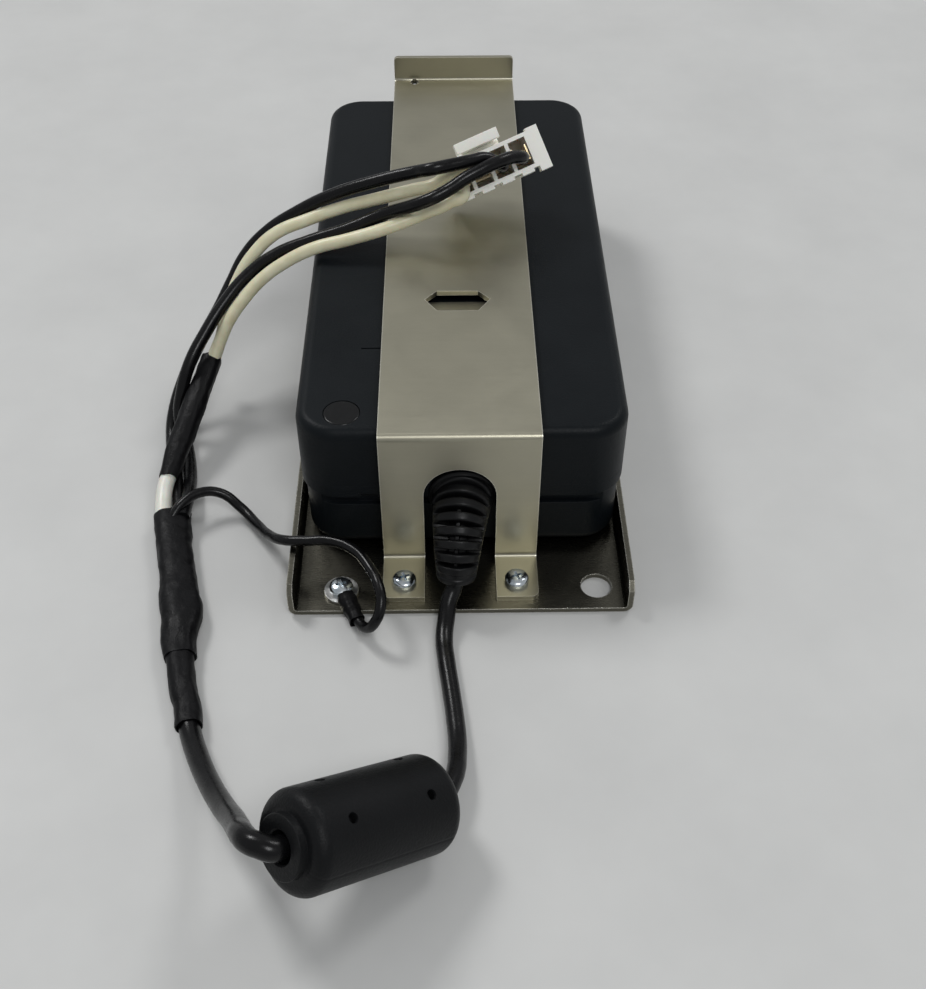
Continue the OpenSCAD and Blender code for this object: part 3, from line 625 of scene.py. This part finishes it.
def screw_head(bm, place):
    """Pan-head screw: domed top, rounded rim, and a shank with turns of thread."""
    profile = [(0.02, HEAD_H)]
    for a in range(12, 80, 8):
        lean = math.radians(a)
        profile.append((HEAD_R * 0.98 * math.sin(lean), HEAD_H * (0.52 + 0.48 * math.cos(lean))))
    profile += arc(HEAD_R - 0.3, HEAD_H * 0.45, 0.3, 20, -60, 4)
    profile += [(HEAD_R - 0.25, 0.0), (SHANK_R, 0.0)]
    for i in range(int(SHANK_L / PITCH)):
        z = -0.12 - i * PITCH
        profile += [(SHANK_R - THREAD, z), (SHANK_R, z - 0.2)]
        profile += [(SHANK_R, z - 0.26), (SHANK_R - THREAD, z - 0.42)]
    profile += [(SHANK_R - 0.35, -SHANK_L), (0.02, -SHANK_L)]
    lathe(bm, profile, place, 40)


def recess_blades(place):
    """The two tapered blades that cut a cross recess."""
    corners = ((-1, -1), (1, -1), (1, 1), (-1, 1))
    blades = []
    for turn in (20, 110):
        spin = place @ turned(turn, "Z")
        rings = []
        for z, half_l, half_w in ((HEAD_H - 1.25, 0.5, 0.17), (HEAD_H + 0.4, 1.45, 0.36)):
            rings.append([spin @ mm(x * half_l, y * half_w, z) for x, y in corners])
        bm = bmesh.new()
        skin(bm, rings)
        blades.append(loose(bm, "blade"))
    return blades


def screws(name, node, places):
    bm = bmesh.new()
    for place in places:
        screw_head(bm, place)
    return carved(piece(name, finished_mesh(bm, name), zinc, [node]),
                  [blade for place in places for blade in recess_blades(place)])


screws("strap_screw_pair", "strap_screws",
       [Matrix.Translation(FRONT + mm(x, SCREW_Y, 2 * SHEET)) for x in (-SCREW_X, SCREW_X)])
screws("ground_screw_head", "ground_screw", [Matrix.Translation(FRONT + mm(*GROUND_AT, SHEET + LUG))])


# ---- Ground terminal ----

TERMINAL_YAW = -68.6
terminal_place = Matrix.Translation(FRONT + mm(*GROUND_AT, 0)) @ turned(TERMINAL_YAW, "Z")
lug = softened("ring_terminal", "ring_terminal_lug", 0.00012, tinned)


def terminal_boot():
    """The sleeve shrunk over the terminal's barrel and the end of the ground wire."""
    stations = []
    for x, z, width, height in ((3.2, 3.2, 3.7, 3.4), (4.6, 3.3, 4.0, 3.7), (6, 3.3, 3.5, 3.3),
                                (7.4, 3.3, 3.7, 3.5), (8.8, 3.3, 3.1, 3.1), (10.4, 3.3, 3.3, 3.2)):
        stations.append((*(terminal_place @ mm(x, 0, z) / MM), width, height))
    return sleeve("terminal_sleeve", "terminal_boot", stations, 31.9, wall=0.35, mouth=1.2)


boot = terminal_boot()


# ---- Case ----

softened("upper_case", "case_top", 0.0003, case_plastic, sharp=40)
softened("lower_case", "case_bottom", 0.0003, case_plastic, sharp=40)
softened("indicator_lens", "lens", 0.0004, lens_plastic, segments=3)
softened("rubber_feet", "feet", 0.0003, rubber)
softened("inlet_body", "inlet", 0.0002, inlet_plastic)
softened("inlet_pins", "inlet_blades", 0.0003, tinned)
softened("rating_label", "label", 0.00005, label_film)

INNER = {
    "indicator_led": led_plastic, "insulation_sheet": insulation, "main_board": board_green,
    "transformer_core": sintered, "transformer_winding": tape, "bulk_capacitor": can_sleeve,
    "output_capacitors": can_sleeve, "primary_heat_sink": aluminium, "secondary_heat_sink": aluminium,
    "power_semiconductors": epoxy, "line_choke": enamel, "line_filter_capacitor": film_box,
    "fuse": ceramic, "ferrite_core": sintered,
}
for node, material in INNER.items():
    for material_slot in nodes[node].material_slots:
        material_slot.material = material


# ---- Strain relief ----

RELIEF_R = 13.9
RELIEF_BEND = 72
RELIEF_YAW = -6
RELIEF_RIBS = 8
RIB_SHARE = 0.66
RELIEF_ROOT_R = 6.4
RELIEF_TAPER = 2.3
RELIEF_CORE_R = 2.5
COLLAR_RIBS = 1.05
relief_centre = FRONT + mm(0.5, 16.4, 4.1)  # of its bend


def relief_ring(angle, radius):
    """One ring round the relief's bent axis, where radius is a function of the direction round it."""
    sides = 72
    a = math.radians(angle)
    turn = turned(RELIEF_YAW, "Z", 3)
    out = turn @ Vector((0, -math.sin(a), math.cos(a)))
    across = turn @ Vector((1, 0, 0))
    ring = []
    for k in range(sides):
        t = 2 * math.pi * k / sides
        r = radius(math.degrees(t)) * MM
        ring.append(relief_centre + out * (RELIEF_R * MM + r * math.sin(t)) + across * (r * math.cos(t)))
    return ring


def ramp(x):
    return min(1, max(0, x))


def relief_radius(angle):
    """The radius round one ring: full on a rib and less in a gap, but for the rails and spines across it."""
    place = angle / (RELIEF_BEND / RELIEF_RIBS)
    full = RELIEF_ROOT_R - RELIEF_TAPER * place / RELIEF_RIBS
    near = abs(place - round(place)) * 2
    gap = ramp((near - RIB_SHARE) / 0.14) if place < RELIEF_RIBS - COLLAR_RIBS else 0.0
    soft = 0.3 * max(0, 1 - (RIB_SHARE - near) / 0.3) ** 2 if near < RIB_SHARE else 0.3

    def radius(direction):
        side = min(abs(direction % 180), abs(180 - direction % 180))
        rail = ramp((24 - side) / 6)
        spine = ramp((11 - abs(direction % 180 - 90)) / 3)
        depth = (full - RELIEF_CORE_R) * gap * (1 - rail) * (1 - 0.6 * spine)
        return full - soft * (1 - rail) - depth
    return radius


def strain_relief():
    """Ribs joined by a rail at each side and a spine above and below, a plain collar, and a flange."""
    samples = 160
    angles = [RELIEF_BEND * i / samples for i in range(samples + 1)]
    rings = [relief_ring(angle, relief_radius(angle)) for angle in angles]
    tip = relief_radius(RELIEF_BEND)
    for angle, share in ((1.2, 0.97), (1.8, 0.9), (1.9, 0.62), (1.0, 0.5)):
        rings.append(relief_ring(RELIEF_BEND + angle, lambda d, s=share: tip(d) * s))
    bm = bmesh.new()
    skin(bm, rings)

    wall = Matrix.Translation(relief_centre + Vector((0, 0, RELIEF_R * MM))) @ turned(-90, "X")
    flange = [(0.3, -1.3), (5.2, -1.3)] + arc(5.6, -0.4, 0.7, -90, 0, 3)
    flange += arc(6.6, 0.3, 0.4, 270, 360, 4) + [(7.0, 1.0), (6.0, 1.0), (6.0, 4.0)]
    flange += [(7.2, 4.0), (7.2, 5.3), (5.4, 5.5), (5.4, 7.5), (0.3, 7.5)]
    lathe(bm, flange, wall, 72)
    mesh = finished_mesh(bm, "relief", 45)
    return piece("relief", mesh, relief_plastic, ["strain_relief"])


strain_relief()


# ---- Ferrite ----

FERRITE_L = 31.8
FERRITE_R = 8.9
FERRITE_EDGE = 2.5
FERRITE_YAW = 36.7
FERRITE_TILT = 28
DISC_H = 1.5
DISC_R = 5.5
FERRITE_HOLE_R = 2.7
FERRITE_SEAM = math.radians(266)

ferrite_z = ((FERRITE_L / 2 - FERRITE_EDGE) * math.sin(math.radians(FERRITE_TILT))
             + (FERRITE_R - FERRITE_EDGE) * math.cos(math.radians(FERRITE_TILT)) + FERRITE_EDGE)
ferrite_place = (Matrix.Translation(mm(-17.3, -138.5, ferrite_z)) @ turned(FERRITE_YAW, "Z")
                 @ turned(90 + FERRITE_TILT, "Y"))


def ferrite_profile():
    """The cover's outline from one end to the other: bore, disc, rounded shoulder and straight side."""
    half, steps = FERRITE_L / 2, 14
    face = half + DISC_H
    end = [(FERRITE_HOLE_R, face - 1.2), (FERRITE_HOLE_R + 0.1, face - 0.3), (FERRITE_HOLE_R + 0.4, face)]
    end += arc(DISC_R - 0.2, face - 0.2, 0.2, 90, 0, 4)
    end += [(DISC_R, half + 0.2), (DISC_R + 0.06, half + 0.06), (DISC_R + 0.2, half)]
    end += arc(FERRITE_R - FERRITE_EDGE, half - FERRITE_EDGE, FERRITE_EDGE, 90, 0, steps)
    side = [(FERRITE_R, (half - FERRITE_EDGE) * (1 - i / steps)) for i in range(1, steps)]
    return ([(FERRITE_HOLE_R, 0.0)] + end + side + [(FERRITE_R, 0.0)]
            + [(r, -z) for r, z in side[::-1] + end[::-1]])


def with_seam(r, z, a):
    """A fine groove where the mould's halves met, low along the front and high along the back."""
    if r < DISC_R + 0.5:
        return r
    seams = (FERRITE_SEAM, FERRITE_SEAM - math.pi)
    off = min(abs((a - seam + math.pi) % (2 * math.pi) - math.pi) for seam in seams)
    return r - 0.12 * max(0, 1 - off / math.radians(1.6))


def ferrite_moulding():
    """Over-moulded cover with four holes left by the pins that held the core."""
    bm = bmesh.new()
    lathe(bm, ferrite_profile(), ferrite_place, 240, closed=True, shape=with_seam)
    mesh = finished_mesh(bm, "ferrite_moulding", 40)
    obj = piece("ferrite_moulding", mesh, cover_plastic, ["ferrite_cover"])
    pin = [(0.02, -1.7), (0.8, -1.7), (0.85, -0.3), (1.0, 0.1), (1.0, 1.5), (0.02, 1.5)]
    pins = []
    for elevation, along in ((62, -8.4), (62, 8.9), (128, -8.2), (128, 9.1)):
        spot = ferrite_place @ turned(270 - elevation, "Z")
        spot = spot @ Matrix.Translation(mm(0, 0, along)) @ turned(90, "Y")
        bm = bmesh.new()
        lathe(bm, pin, spot @ Matrix.Translation(mm(0, 0, FERRITE_R)), 24)
        pins.append(loose(bm, "peg"))
    return carved(obj, pins)


cover = ferrite_moulding()


# ---- Plug ----

housing = softened("connector_housing", "plug_housing", 0.00018, nylon)
latch = softened("connector_latch", "plug_latch", 0.00018, nylon, body="latch")
contacts = softened("crimp_contacts", "plug_contacts", 0.0001, brass)


# ---- Floor and light ----

def floor():
    """A plain pale floor with slow, faint clouding."""
    bm = bmesh.new()
    bmesh.ops.create_grid(bm, x_segments=1, y_segments=1, size=3)
    mesh = bpy.data.meshes.new("floor")
    bm.to_mesh(mesh)
    bm.free()
    obj = bpy.data.objects.new("floor", mesh)
    scene.collection.objects.link(obj)
    f = Finish("floor")
    slow = f.noise(26, 4, rough=0.6)
    f.colour(f.blend(f.span(slow, 0.3, 0.7), rgb(0.57, 0.572, 0.562), rgb(0.62, 0.622, 0.61)))
    f.rough(0.55)
    mesh.materials.append(f.material)


def panel_light(name, place, size, power, colour=(1, 1, 1)):
    """A soft round light that points at the middle of the object."""
    data = bpy.data.lights.new(name, "AREA")
    data.shape = "DISK"
    data.size = size
    data.energy = power
    data.color = colour
    obj = bpy.data.objects.new(name, data)
    obj.location = place
    obj.rotation_euler = (-Vector(place)).to_track_quat("-Z", "Y").to_euler()
    scene.collection.objects.link(obj)


def room():
    """An even grey room, a little darker low down and overhead."""
    world = bpy.data.worlds.new("room")
    world.use_nodes = True
    tree = world.node_tree
    place = tree.nodes.new("ShaderNodeTexCoord").outputs["Generated"]
    height = tree.nodes.new("ShaderNodeSeparateXYZ")
    tree.links.new(place, height.inputs[0])
    shades = tree.nodes.new("ShaderNodeValToRGB")
    tree.links.new(height.outputs["Z"], shades.inputs["Fac"])
    stops = shades.color_ramp.elements
    stops[0].position, stops[0].color = 0.0, rgb(0.34, 0.35, 0.36)
    stops[1].position, stops[1].color = 1.0, rgb(0.34, 0.345, 0.35)
    for height_share, level in ((0.3, 0.40), (0.65, 0.42), (0.85, 0.40)):
        stop = stops.new(height_share)
        stop.color = rgb(level * 0.985, level, level * 1.02)
    tree.links.new(shades.outputs["Color"], tree.nodes["Background"].inputs["Color"])
    tree.nodes["Background"].inputs["Strength"].default_value = 0.93
    scene.world = world


floor()
room()
panel_light("left_panel", (-0.85, 0.8, 1.5), 0.5, 11)
panel_light("right_panel", (0.85, 0.72, 1.45), 0.5, 4.5)
panel_light("front_panel", (0.3, -0.9, 1.35), 0.5, 6, (0.98, 0.99, 1.0))
scene.view_settings.view_transform = "Standard"
